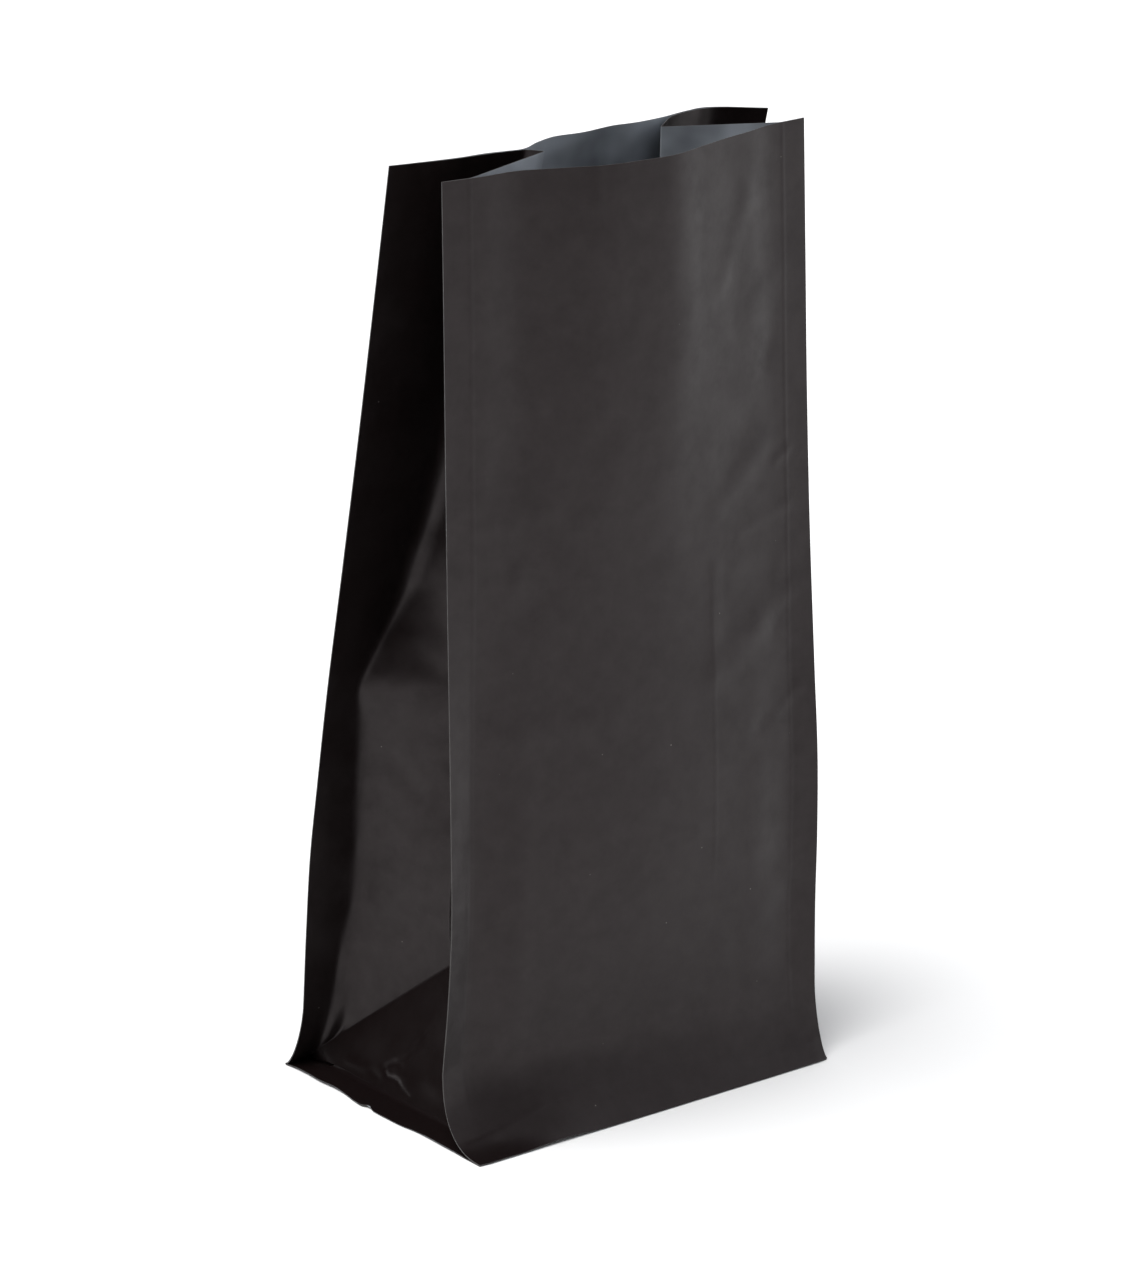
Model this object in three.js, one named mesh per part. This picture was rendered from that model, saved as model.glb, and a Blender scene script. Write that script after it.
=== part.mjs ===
import * as THREE from 'three';

// A block bottom bag of matt black barrier film, empty, open at the top and standing on its base.
// Five webs of film are sealed to each other along narrow fins: a front panel, a back panel, two
// side gussets folded inwards along their middle, and a base. Each web is one closed solid.
// Millimetres, +Z up. The front faces -Y and the origin is on the floor under the bag's middle.

// ---- Driving dimensions --------------------------------------------------------------------
const BAG_WIDTH = 140; // across the front, from fin edge to fin edge
const RIM_HEIGHT = 304; // floor to rim, as the bag stands
const FILM_LENGTH = 312; // length of a web, from its bottom edge to the rim
const FOOT_DEPTH = 102; // floor covered, from the front fin's edge to the back fin's edge
const SIDE_SEAL = 9; // width of the seal where a gusset joins a panel
const GUSSET_HALF = 41.5; // gusset film from its middle crease to the inner edge of the seal
const FILM = 0.4; // thickness of each solid web; the real film is about 0.15
const GAP = 0.3; // air between two sealed webs
const LAYER = FILM + GAP; // pitch of webs lying on each other
const INNER_EDGE = BAG_WIDTH / 2 - SIDE_SEAL; // inner edge of a side seal, from the middle
const PLEAT_HEIGHT = 50.5; // height, on the film, of the triangle that the base folds into a gusset
const RIDGE = 134; // height, on the film, of the cross fold halfway up a gusset
const WALL_FOOT = 24; // height where a wall has straightened up out of its foot
const WALL_LEVELS = [WALL_FOOT, 75, 130, 220, RIM_HEIGHT]; // heights at which `wall` is given
const FOOT_SHARE = 0.15; // part of a corner curve's parameter that its foot takes

// The four upright corners, seen from the side. `wall` is the depth (Y) at each wall level. The
// foot flares out from the wall to the floor by `reach`; `bend` is 1 for a straight slope, and
// larger values lie flat on the floor before they turn up.
const FRONT_FOOT = -FOOT_DEPTH / 2;
const BACK_FOOT = FOOT_DEPTH / 2;
const CORNERS = {
  frontLeft: { foot: FRONT_FOOT, bend: 2.5, wall: [-32.4, -36.8, -35.8, -33.6, -31.8] },
  frontRight: { foot: FRONT_FOOT, bend: 1.5, wall: [-44.1, -43.7, -40.6, -33.9, -30.1] },
  backLeft: { foot: BACK_FOOT, bend: 1.5, wall: [40.6, 36.5, 27.2, 9.2, -6.3] },
  backRight: { foot: BACK_FOOT, bend: 1.5, wall: [30.5, 30, 24.5, 7, -13.2] },
};

// Bows of the two panels, in millimetres outwards.
const FRONT_RIM_BOW = 13.5; // middle of the front rim
const FRONT_RIM_BOW_WIDTH = 112;
const BELLY = 6; // middle of each panel, halfway up
const SEAL_BLEND = 9; // width over which a panel's foot rises on to the gusset it is sealed to
// How far the back rim stands out from the straight line between its two corners.
const BACK_RIM_AT = [-70, -50, -26, -8, 20, 50, 60, 70];
const BACK_RIM_BOW = [0, -1.3, -2.8, 5, 7.2, 11.5, 8.8, 0];
const RIM_BOW_FROM = 150; // film height where the rim's bows begin

// ---- Small mathematics ---------------------------------------------------------------------
const { lerp, smoothstep, clamp } = THREE.MathUtils;

function splineThrough(places, values) {
  const points = places.map((place, i) => new THREE.Vector2(place, values[i]));
  return (place) => {
    const last = points.length - 2;
    let i = 0;
    while (i < last && place > points[i + 1].x) i += 1;
    const [a, b] = [points[i], points[i + 1]];
    const before = points[Math.max(i - 1, 0)];
    const after = points[Math.min(i + 2, last + 1)];
    const span = b.x - a.x;
    const slopeA = ((b.y - before.y) / (b.x - before.x)) * span;
    const slopeB = ((after.y - a.y) / (after.x - a.x)) * span;
    const t = clamp((place - a.x) / span, 0, 1);
    const u = 1 - t;
    return a.y * u * u * (1 + 2 * t) + b.y * t * t * (1 + 2 * u) + (slopeA * u - slopeB * t) * t * u;
  };
}

// ---- Upright corners -----------------------------------------------------------------------
// A corner runs up in the Y-Z plane; getPointAt of its film fraction gives depth and height.
class Corner extends THREE.Curve {
  constructor({ foot, bend, wall }) {
    super();
    this.foot = foot;
    this.bend = bend;
    this.depthAt = splineThrough(WALL_LEVELS, wall);
    this.reach = foot - wall[0];
    this.arcLengthDivisions = 400;
  }

  getPoint(t, target = new THREE.Vector2()) {
    if (t >= FOOT_SHARE) {
      const height = lerp(WALL_FOOT, RIM_HEIGHT, (t - FOOT_SHARE) / (1 - FOOT_SHARE));
      return target.set(this.depthAt(height), height);
    }
    const turn = (t / FOOT_SHARE) * (Math.PI / 2);
    const outwards = 1 - Math.sin(turn) ** (2 / this.bend);
    const upwards = 1 - Math.max(Math.cos(turn), 0) ** (2 / this.bend);
    return target.set(this.foot - this.reach * (1 - outwards), WALL_FOOT * upwards);
  }
}

const corners = Object.fromEntries(
  Object.entries(CORNERS).map(([name, values]) => [name, new Corner(values)]),
);

// ---- The two panels ------------------------------------------------------------------------
const backRimBow = splineThrough(BACK_RIM_AT, BACK_RIM_BOW);
const PANELS = {
  front: { left: corners.frontLeft, right: corners.frontRight, outwards: -1, rimBow: frontRimBow },
  back: { left: corners.backLeft, right: corners.backRight, outwards: 1, rimBow: backRimBow },
};

function frontRimBow(x) {
  const place = clamp(x / FRONT_RIM_BOW_WIDTH, -0.5, 0.5);
  return FRONT_RIM_BOW * Math.cos(place * Math.PI) ** 2;
}

// Middle of the film of a panel, at x across the bag and `up` along the film.
function panelPoint({ left, right, outwards, rimBow }, x, up) {
  const share = x / BAG_WIDTH + 0.5;
  const [a, b] = [left, right].map((corner) => corner.getPointAt(up / FILM_LENGTH));
  const belly = BELLY * Math.cos((x / BAG_WIDTH) * Math.PI) ** 2 * Math.sin((up / FILM_LENGTH) * Math.PI);
  const bow = belly + rimBow(x) * smoothstep(up, RIM_BOW_FROM, FILM_LENGTH);
  // the webs are thicker here than in life, so each one's foot is lifted on to those below it
  const sealedToGusset = smoothstep(Math.abs(x), INNER_EDGE - SEAL_BLEND, INNER_EDGE);
  const lift = FILM / 2 + LAYER * (1 + sealedToGusset);
  const height = lerp(a.y, b.y, share);
  const lifted = lerp(lift, 0, smoothstep(up, 0, FILM_LENGTH));
  return new THREE.Vector3(x, lerp(a.x, b.x, share) + outwards * bow, height + lifted);
}

// The same place moved off the panel, towards the inside of the bag.
function insidePanel(panel, x, up, distance) {
  const step = 0.5;
  const low = Math.max(up - step, 0);
  const high = Math.min(up + step, FILM_LENGTH);
  const across = panelPoint(panel, x + step, up).sub(panelPoint(panel, x - step, up));
  const along = panelPoint(panel, x, high).sub(panelPoint(panel, x, low));
  const inwards = across.cross(along).normalize().multiplyScalar(panel.outwards);
  return panelPoint(panel, x, up).addScaledVector(inwards, distance);
}

// ---- Gussets -------------------------------------------------------------------------------
// A place on a gusset is `across` the film (0 at the middle crease, minus to the front, plus to
// the back) and `up` along it. Across a gusset the film is: seal, a short stretch that follows
// the panel, a straight stretch to the middle crease, and the same again.
const FOLLOWS_FRONT = 4; // stretch that follows the front panel
const FOLLOWS_BACK = 4.5; // stretch that follows the back panel, below the ridge
const BACK_GROWTH = 0.46; // how fast that stretch grows above the ridge, per millimetre up
const SLACK = 2.2; // film kept back, so that the middle crease stays folded
const RIM_TAUT = { [-1]: 1, [1]: 0.91 }; // chord over film of the straight stretches, at the rim
const FOLLOW_GAP = 0.5; // extra room where the gusset lies along a panel without a seal
// Width of film over which a bend is rounded: at the middle crease, and beside the panels below
// and above the ridge.
const ROUNDED = { crease: 3, below: 9, above: 4 };
const ROUNDED_SAMPLES = 7;
const ROUNDED_BLEND = 25; // film height over which that width changes, up to the ridge
const CREASE_REACH = [4, 14]; // film from the crease over which its own width gives way

function crossing(from, to, fromRadius, toRadius, side) {
  const span = new THREE.Vector2().subVectors(to, from);
  const distance = span.length();
  const along = (distance ** 2 + fromRadius ** 2 - toRadius ** 2) / (2 * distance);
  const aside = Math.sqrt(Math.max(fromRadius ** 2 - along ** 2, 0));
  span.divideScalar(distance);
  const inwards = new THREE.Vector2(span.y, -span.x).multiplyScalar(-side * aside);
  return new THREE.Vector2().copy(from).addScaledVector(span, along).add(inwards);
}

function gussetSection(side, up) {
  const frontSeal = insidePanel(PANELS.front, side * INNER_EDGE, up, LAYER);
  const backSeal = insidePanel(PANELS.back, side * INNER_EDGE, up, LAYER);
  const depth = backSeal.y - frontSeal.y;
  const most = ((2 * GUSSET_HALF) ** 2 - depth ** 2) / (4 * GUSSET_HALF) - SLACK;
  const grown = FOLLOWS_BACK + BACK_GROWTH * Math.max(up - RIDGE, 0);
  const followsBack = clamp(Math.min(grown, most), 1, GUSSET_HALF - 1);
  const followsFront = lerp(FOLLOWS_FRONT, 1, smoothstep(up, RIDGE, FILM_LENGTH));
  return { side, up, frontSeal, backSeal, followsBack, followsFront };
}

function creaseOf(section) {
  const { side, up, followsFront, followsBack } = section;
  const taut = lerp(1, RIM_TAUT[side], smoothstep(up, RIDGE, FILM_LENGTH));
  const front = followPanel(section, PANELS.front, followsFront);
  const back = followPanel(section, PANELS.back, followsBack);
  const plan = (point) => new THREE.Vector2(point.x, point.y);
  const reach = [followsFront, followsBack].map((follows) => (GUSSET_HALF - follows) * taut);
  const crease = crossing(plan(front), plan(back), reach[0], reach[1], side);
  return { front, back, crease };
}

function followPanel({ side, up }, panel, distance) {
  const gap = LAYER + FOLLOW_GAP * smoothstep(distance, 0, SIDE_SEAL);
  return insidePanel(panel, side * (INNER_EDGE - distance), up, gap);
}

// The unrounded section: follows the front panel, runs to the crease, to the back panel, along it.
function sharpPoint(section, joints, across) {
  const { side, up, frontSeal, backSeal, followsBack, followsFront } = section;
  const fromSeal = GUSSET_HALF - Math.abs(across);
  const [panel, follows] = across < 0 ? [PANELS.front, followsFront] : [PANELS.back, followsBack];
  if (fromSeal < 0) return insidePanel(panel, side * (INNER_EDGE - fromSeal), up, LAYER);
  if (fromSeal < follows) return followPanel(section, panel, fromSeal);
  const joint = across < 0 ? joints.front : joints.back;
  const share = (fromSeal - follows) / (GUSSET_HALF - follows);
  const height = lerp(frontSeal.z, backSeal.z, across / (2 * GUSSET_HALF) + 0.5);
  return new THREE.Vector3(
    lerp(joint.x, joints.crease.x, share),
    lerp(joint.y, joints.crease.y, share),
    height,
  );
}

// The film can't turn a sharp corner: each place is the mean of the section round it.
function wallPoint(side, across, up) {
  const section = gussetSection(side, up);
  const joints = creaseOf(section);
  if (Math.abs(across) >= GUSSET_HALF) return sharpPoint(section, joints, across);
  const { crease, below, above } = ROUNDED;
  const beside = lerp(below, above, smoothstep(up, RIDGE - ROUNDED_BLEND, RIDGE));
  const width = lerp(crease, beside, smoothstep(Math.abs(across), ...CREASE_REACH));
  const room = 2 * (GUSSET_HALF - Math.abs(across));
  const mean = new THREE.Vector3();
  for (let i = 0; i < ROUNDED_SAMPLES; i += 1) {
    const offset = Math.min(width, room) * (i / (ROUNDED_SAMPLES - 1) - 0.5);
    mean.add(sharpPoint(section, joints, across + offset));
  }
  return mean.divideScalar(ROUNDED_SAMPLES);
}

// ---- From a sheet to a solid ---------------------------------------------------------------
// A Sheet gathers the middle surface of a web as patches of four-sided faces, and merges the
// corners that two patches share. Its solid is that surface, moved half a film to both sides.
class Sheet {
  constructor() {
    this.points = [];
    this.index = new Map();
    this.triangles = [];
  }

  vertex(point) {
    const key = [point.x, point.y, point.z].map((value) => Math.round(value * 1000)).join();
    if (!this.index.has(key)) {
      this.index.set(key, this.points.length);
      this.points.push(point);
    }
    return this.index.get(key);
  }

  patch(columns, rows, pointAt) {
    const grid = columns.map((column) => rows.map((row) => this.vertex(pointAt(column, row))));
    for (let i = 0; i + 1 < columns.length; i += 1) {
      for (let j = 0; j + 1 < rows.length; j += 1) {
        const [a, b, c, d] = [grid[i][j], grid[i + 1][j], grid[i + 1][j + 1], grid[i][j + 1]];
        this.triangles.push([a, b, c], [a, c, d]);
      }
    }
  }

  normals() {
    const normals = this.points.map(() => new THREE.Vector3());
    const triangle = new THREE.Triangle();
    const normal = new THREE.Vector3();
    for (const [a, b, c] of this.triangles) {
      triangle.set(this.points[a], this.points[b], this.points[c]).getNormal(normal);
      [[a, b, c], [b, c, a], [c, a, b]].forEach(([at, next, last]) => {
        const one = new THREE.Vector3().subVectors(this.points[next], this.points[at]);
        const two = new THREE.Vector3().subVectors(this.points[last], this.points[at]);
        normals[at].addScaledVector(normal, one.angleTo(two));
      });
    }
    return normals.map((sum) => sum.normalize());
  }

  solid(thickness) {
    const count = this.points.length;
    const normals = this.normals();
    const moved = (distance) =>
      this.points.map((point, i) => point.clone().addScaledVector(normals[i], distance));
    const corners = [...moved(thickness / 2), ...moved(-thickness / 2)];
    const faces = this.triangles.flatMap(([a, b, c]) => [
      [a, b, c],
      [a + count, c + count, b + count],
    ]);
    const edges = new Map();
    for (const [a, b, c] of this.triangles) {
      for (const [from, to] of [[a, b], [b, c], [c, a]]) {
        if (!edges.delete(`${to},${from}`)) edges.set(`${from},${to}`, [from, to]);
      }
    }
    for (const [from, to] of edges.values()) {
      faces.push([from, from + count, to], [to, from + count, to + count]);
    }
    const geometry = new THREE.BufferGeometry();
    const positions = corners.flatMap((corner) => corner.toArray());
    geometry.setAttribute('position', new THREE.Float32BufferAttribute(positions, 3));
    geometry.setIndex(facingOut(corners, faces).flat());
    geometry.computeVertexNormals();
    return geometry;
  }
}

function facingOut(corners, faces) {
  const volume = faces.reduce(
    (sum, [a, b, c]) => sum + corners[a].dot(new THREE.Vector3().crossVectors(corners[b], corners[c])),
    0,
  );
  return volume > 0 ? faces : faces.map(([a, b, c]) => [a, c, b]);
}

// ---- The webs ------------------------------------------------------------------------------
const PLEAT_ROW = 54; // film height of the first row above the pleat
const EDGE_ROWS = [9, 14, 20, 27, 35, 44, PLEAT_ROW]; // rows up the film, close where it bends
const UPPER_ROWS = [PLEAT_ROW, 72, 92, 112, 127, RIDGE, 142, 152, 163, 176, 194, 220, 250, 282, FILM_LENGTH];
const FOOT_ROWS = [0, 4.5, 9];
const PANEL_COLUMNS = [70, 65.5, 61, 57, 48, 36, 24, 12];
const mirrored = (places) => [...places.map((place) => -place), 0, ...[...places].reverse()];

function panelSheet(panel) {
  const sheet = new Sheet();
  const rows = [...FOOT_ROWS, ...EDGE_ROWS.slice(1), ...UPPER_ROWS.slice(1)];
  sheet.patch(mirrored(PANEL_COLUMNS), rows, (x, up) => panelPoint(panel, x, up));
  return sheet;
}

const GUSSET_COLUMNS = [38, 34.5, 31, 27, 23, 19, 15, 11, 7, 3.5];
const PLEAT_COLUMNS = [39.8, ...GUSSET_COLUMNS];
const PLEAT_ROWS = [0, 0.16, 0.34, 0.55, 0.78, 1]; // share of the way from the floor to the fold
const PLEAT_FLOOR = 41.8; // half length of the pleat's bottom edge
const PLEAT_INSET = 0.5; // of that edge, from the edge of the base
const SEAL_COLUMNS = [GUSSET_HALF + SIDE_SEAL, GUSSET_HALF + SIDE_SEAL / 2];
const PLEAT_DIP = 3; // how far the pleat hangs in above its fin
const CREASE_DIP = 2; // how far the middle crease dips where it meets the pleat

// The fold between the gusset's wall and the pleat, from the corners of the base up to the crease.
function pleatFold(side, across) {
  const tip = wallPoint(side, 0, PLEAT_ROW);
  tip.z -= PLEAT_ROW - PLEAT_HEIGHT + CREASE_DIP;
  const cornerAt = Math.sign(across) * GUSSET_HALF;
  const corner = wallPoint(side, cornerAt, FOOT_ROWS[2]);
  return tip.lerp(corner, Math.abs(across) / GUSSET_HALF);
}

// Between that fold and the first upper row the wall is ruled, and bends with the seals at its ends.
function lowerWallPoint(side, across, share) {
  if (Math.abs(across) >= GUSSET_HALF) return wallPoint(side, across, edgeRowAt(share));
  const end = Math.sign(across || 1) * GUSSET_HALF;
  const ruled = pleatFold(side, across).lerp(wallPoint(side, across, PLEAT_ROW), share);
  const straight = pleatFold(side, end).lerp(wallPoint(side, end, PLEAT_ROW), share);
  const bent = wallPoint(side, end, edgeRowAt(share)).sub(straight);
  return ruled.addScaledVector(bent, Math.min(Math.abs(across) / GUSSET_COLUMNS[0], 1) ** 3);
}

function edgeRowAt(share) {
  const place = share * (EDGE_ROWS.length - 1);
  const i = Math.min(Math.floor(place), EDGE_ROWS.length - 2);
  return lerp(EDGE_ROWS[i], EDGE_ROWS[i + 1], place - i);
}

// The pleat rises from the fin on the floor to the fold.
function pleatPoint(side, across, share) {
  const edge = new THREE.Vector3(
    side * (BAG_WIDTH / 2 - PLEAT_INSET),
    (across / PLEAT_COLUMNS[0]) * PLEAT_FLOOR,
    FILM / 2 + LAYER,
  );
  const point = edge.lerp(pleatFold(side, across), share);
  const dip = PLEAT_DIP * Math.sin(share * Math.PI) * (1 - share) * (1 - Math.abs(across) / GUSSET_HALF);
  point.z = Math.max(point.z - dip, FILM / 2 + LAYER);
  return point;
}

function gussetSheet(side) {
  const sheet = new Sheet();
  const columns = mirrored([...SEAL_COLUMNS, GUSSET_HALF, ...PLEAT_COLUMNS]);
  const shares = EDGE_ROWS.map((_, i) => i / (EDGE_ROWS.length - 1));
  sheet.patch(columns, UPPER_ROWS, (across, up) => wallPoint(side, across, up));
  sheet.patch(columns, shares, (across, share) => lowerWallPoint(side, across, share));
  for (const end of [-1, 1]) {
    const seal = [...SEAL_COLUMNS, GUSSET_HALF].map((place) => end * place);
    if (end < 0) sheet.patch(seal, FOOT_ROWS, (across, up) => wallPoint(side, across, up));
    else sheet.patch(seal.reverse(), FOOT_ROWS, (across, up) => wallPoint(side, across, up));
  }
  sheet.patch(mirrored(PLEAT_COLUMNS), PLEAT_ROWS, (across, share) => pleatPoint(side, across, share));
  return sheet;
}

// The base lies flat under the fins of the four walls.
function baseGeometry() {
  const outline = new THREE.Shape();
  const [x, y] = [BAG_WIDTH / 2, FOOT_DEPTH / 2];
  outline.moveTo(-x, -y).lineTo(x, -y).lineTo(x, y).lineTo(-x, y).closePath();
  return new THREE.ExtrudeGeometry(outline, { depth: FILM, bevelEnabled: false });
}

// ---- The bag -------------------------------------------------------------------------------
const film = new THREE.MeshStandardMaterial({ color: 0x2b2728, roughness: 0.42, metalness: 0 });

function web(name, geometry) {
  const mesh = new THREE.Mesh(geometry, film.clone());
  mesh.name = name;
  return mesh;
}

const bag = new THREE.Group();
bag.add(web('front_panel', panelSheet(PANELS.front).solid(FILM)));
bag.add(web('back_panel', panelSheet(PANELS.back).solid(FILM)));
bag.add(web('gusset_left', gussetSheet(-1).solid(FILM)));
bag.add(web('gusset_right', gussetSheet(1).solid(FILM)));
bag.add(web('bottom_panel', baseGeometry()));

export default bag;
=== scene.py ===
"""A block bottom bag of matt black barrier film, standing empty and open on a pale floor.

Each of the five webs of film is a closed thin sheet: a black outer skin, a silver-grey metallised
inner skin and a pale cut edge. Lengths are in millimetres until a mesh is made, and the frame is
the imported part's: +Z up, front to -Y, origin on the floor under the middle of the bag.
A place on a web is given on the film itself: `x` or `across` over its width, and `up` along it.
"""
import math

import bpy
import numpy as np
from mathutils import Matrix, Vector


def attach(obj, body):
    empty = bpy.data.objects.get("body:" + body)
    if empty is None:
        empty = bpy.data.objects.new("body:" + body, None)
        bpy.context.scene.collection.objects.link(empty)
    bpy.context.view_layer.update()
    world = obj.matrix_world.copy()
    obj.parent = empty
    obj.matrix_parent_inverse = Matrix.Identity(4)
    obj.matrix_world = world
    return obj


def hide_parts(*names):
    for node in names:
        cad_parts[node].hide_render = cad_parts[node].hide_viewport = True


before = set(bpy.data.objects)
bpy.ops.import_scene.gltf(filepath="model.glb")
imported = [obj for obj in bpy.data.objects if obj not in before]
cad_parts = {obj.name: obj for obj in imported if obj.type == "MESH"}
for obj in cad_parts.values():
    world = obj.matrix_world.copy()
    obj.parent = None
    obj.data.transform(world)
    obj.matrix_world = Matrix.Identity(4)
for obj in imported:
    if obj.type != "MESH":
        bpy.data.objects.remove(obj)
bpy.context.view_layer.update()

MM = 0.001

# ---- Driving dimensions --------------------------------------------------------------------
WIDTH = 140.0  # across the front, from fin edge to fin edge
RIM_HEIGHT = 304.0
LENGTH = 312.0  # of a web, from its bottom edge to the rim
DEPTH = 102.0  # of the footprint, fin edge to fin edge
SEAL = 9.0  # width of a seal
GUSSET_HALF = 41.5  # gusset film from its middle crease to the inner edge of the seal
FILM = 0.2
LAYER = 0.22  # pitch of sealed webs
SIDE = WIDTH / 2
INNER = SIDE - SEAL  # distance of a seal's inner edge from the middle
PLEAT = GUSSET_HALF + SEAL  # film height of the triangle that the base folds into a gusset
RIDGE = 134.0  # film height of the cross fold halfway up a gusset

# The upright corners, seen from the side: which way is outwards, how round the foot turns, and
# the depth (Y) of the wall at each level.
WALL_FOOT = 24.0  # height at which the foot has turned into the wall
FOOT_SHARE = 0.15  # share of a corner's samples in the foot
FLARE_HEIGHT = 29.0  # between the corners the front flares out below this height
CURVE_SAMPLES = 3000
LEVELS = [WALL_FOOT, 50, 75, 100, 130, 175, 220, 262, RIM_HEIGHT]
CORNERS = {
    "front_left": (-1, 2.5, [-32.3, -35.3, -36.8, -36.5, -35.8, -34.6, -33.6, -32.8, -31.8]),
    "front_right": (-1, 1.5, [-44.1, -43.5, -43.7, -43.1, -40.6, -36.9, -34.1, -32.1, -30.1]),
    "back_left": (1, 1.5, [40.8, 38.9, 36.5, 32.4, 27.2, 18.2, 9.4, 1.6, -6.0]),
    "back_right": (1, 1.5, [30.5, 30.9, 30.0, 28.0, 24.5, 16.2, 7.0, -2.8, -13.2]),
}

# Bows of the panels outwards from the straight line between their corners.
FRONT_RIM_AT = [-70, -56, -42.5, -36, -29, -18.6, -5, 7, 22, 35.5, 44, 54, 70]
FRONT_RIM_BOW = [0, 1.6, 2.4, 5.0, 7.8, 12.0, 13.9, 14.2, 10.0, 6.2, 4.3, 1.4, 0]
BACK_RIM_AT = [-70, -57, -46, -37.5, -29.6, -25.7, -15.4, -7.8, 3.9, 17, 24, 35, 48, 54, 62, 66, 70]
BACK_RIM_BOW = [0, -1.7, -2.7, -2.5, -3.3, -3.6, 1.3, 4.3, 4.0, 6.7, 6.2, 7.5, 10.8, 11.6, 7.3, 3.6, 0]
RIM_BOW_FROM = 150.0  # film height
BELLY = 6.0  # bow of a panel at mid height
# The gussets pull the seals inwards, so that the fins splay.
PINCH = {("front", -1): 2.7, ("front", 1): 1.4, ("back", -1): 1.2, ("back", 1): 1.2}
PINCH_FADE = 19.0  # width of panel beyond a seal over which it recovers
PINCH_HEIGHTS = [0, 9, 40, 125, 190, LENGTH]
PINCH_SHARE = [0, 0, 1, 1, 0, 0]


# ---- Small mathematics ---------------------------------------------------------------------
def smoothstep(value, low, high):
    t = np.clip((value - low) / (high - low), 0, 1)
    return t * t * (3 - 2 * t)


def lerp(a, b, t):
    return a + (b - a) * t


def unit(vectors):
    return vectors / np.maximum(np.linalg.norm(vectors, axis=-1, keepdims=True), 1e-9)


def spline(places, values):
    """A smooth curve through the values, as a function of arrays."""
    x, y = np.asarray(places, float), np.asarray(values, float)
    slope = np.gradient(y, x)

    def at(place):
        place = np.clip(place, x[0], x[-1])
        i = np.clip(np.searchsorted(x, place) - 1, 0, len(x) - 2)
        span = x[i + 1] - x[i]
        t = (place - x[i]) / span
        u = 1 - t
        ends = y[i] * u * u * (1 + 2 * t) + y[i + 1] * t * t * (1 + 2 * u)
        return ends + span * t * u * (slope[i] * u - slope[i + 1] * t)

    return at


def hump(value, middle, width):
    """1 at the middle, falling smoothly to nothing."""
    return np.exp(-(((value - middle) / width) ** 2))


# ---- Upright corners -----------------------------------------------------------------------
def by_share(y, z):
    """A curve as a function of the share of its length."""
    run = np.concatenate([[0], np.cumsum(np.hypot(np.diff(y), np.diff(z)))])
    run /= run[-1]
    return lambda share: (np.interp(share, run, y), np.interp(share, run, z))


def corner_curve(outwards, bend, wall):
    """Depth and height of a corner by the share of its film, from the bottom edge to the rim."""
    depth_at = spline(LEVELS, wall)
    foot = outwards * DEPTH / 2
    reach = foot - wall[0]
    t = np.linspace(0, 1, CURVE_SAMPLES)
    turn = np.clip(t / FOOT_SHARE, 0, 1) * math.pi / 2
    foot_y = foot - reach * np.sin(turn) ** (2 / bend)
    foot_z = WALL_FOOT * (1 - np.maximum(np.cos(turn), 0) ** (2 / bend))
    wall_z = lerp(WALL_FOOT, RIM_HEIGHT, (t - FOOT_SHARE) / (1 - FOOT_SHARE))
    y = np.where(t < FOOT_SHARE, foot_y, depth_at(wall_z))
    z = np.where(t < FOOT_SHARE, foot_z, wall_z)
    return by_share(y, z)


def flare_curve(outwards, wall):
    """The same between the corners, where the foot flares out smoothly instead of turning."""
    depth_at = spline(LEVELS, wall)
    lean = (wall[1] - wall[0]) / (LEVELS[1] - LEVELS[0])
    z = np.linspace(0, RIM_HEIGHT, CURVE_SAMPLES)
    plain = depth_at(z) + lean * np.minimum(z - LEVELS[0], 0)
    reach = outwards * DEPTH / 2 - plain[0]
    y = plain + reach * np.clip(1 - z / FLARE_HEIGHT, 0, 1) ** 2
    return by_share(y, z)


corners = {name: corner_curve(*values) for name, values in CORNERS.items()}
flares = {side: flare_curve(-1, CORNERS["front_" + side][2]) for side in ("left", "right")}
rim_bows = {
    "front": spline(FRONT_RIM_AT, FRONT_RIM_BOW),
    "back": spline(BACK_RIM_AT, BACK_RIM_BOW),
}
OUTWARDS = {"front": -1, "back": 1}


# ---- The two panels ------------------------------------------------------------------------
def crease(x, up, start, end, width, height):
    """A soft ridge along a line on the film, tapering at both ends; a valley if height is below 0."""
    run, rise = end[0] - start[0], end[1] - start[1]
    length = math.hypot(run, rise)
    along = ((x - start[0]) * run + (up - start[1]) * rise) / length
    aside = ((x - start[0]) * rise - (up - start[1]) * run) / length
    taper = smoothstep(along, -width, width) * (1 - smoothstep(along, length - width, length + width))
    return height * taper * np.exp(-((aside / width) ** 2))


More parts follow.
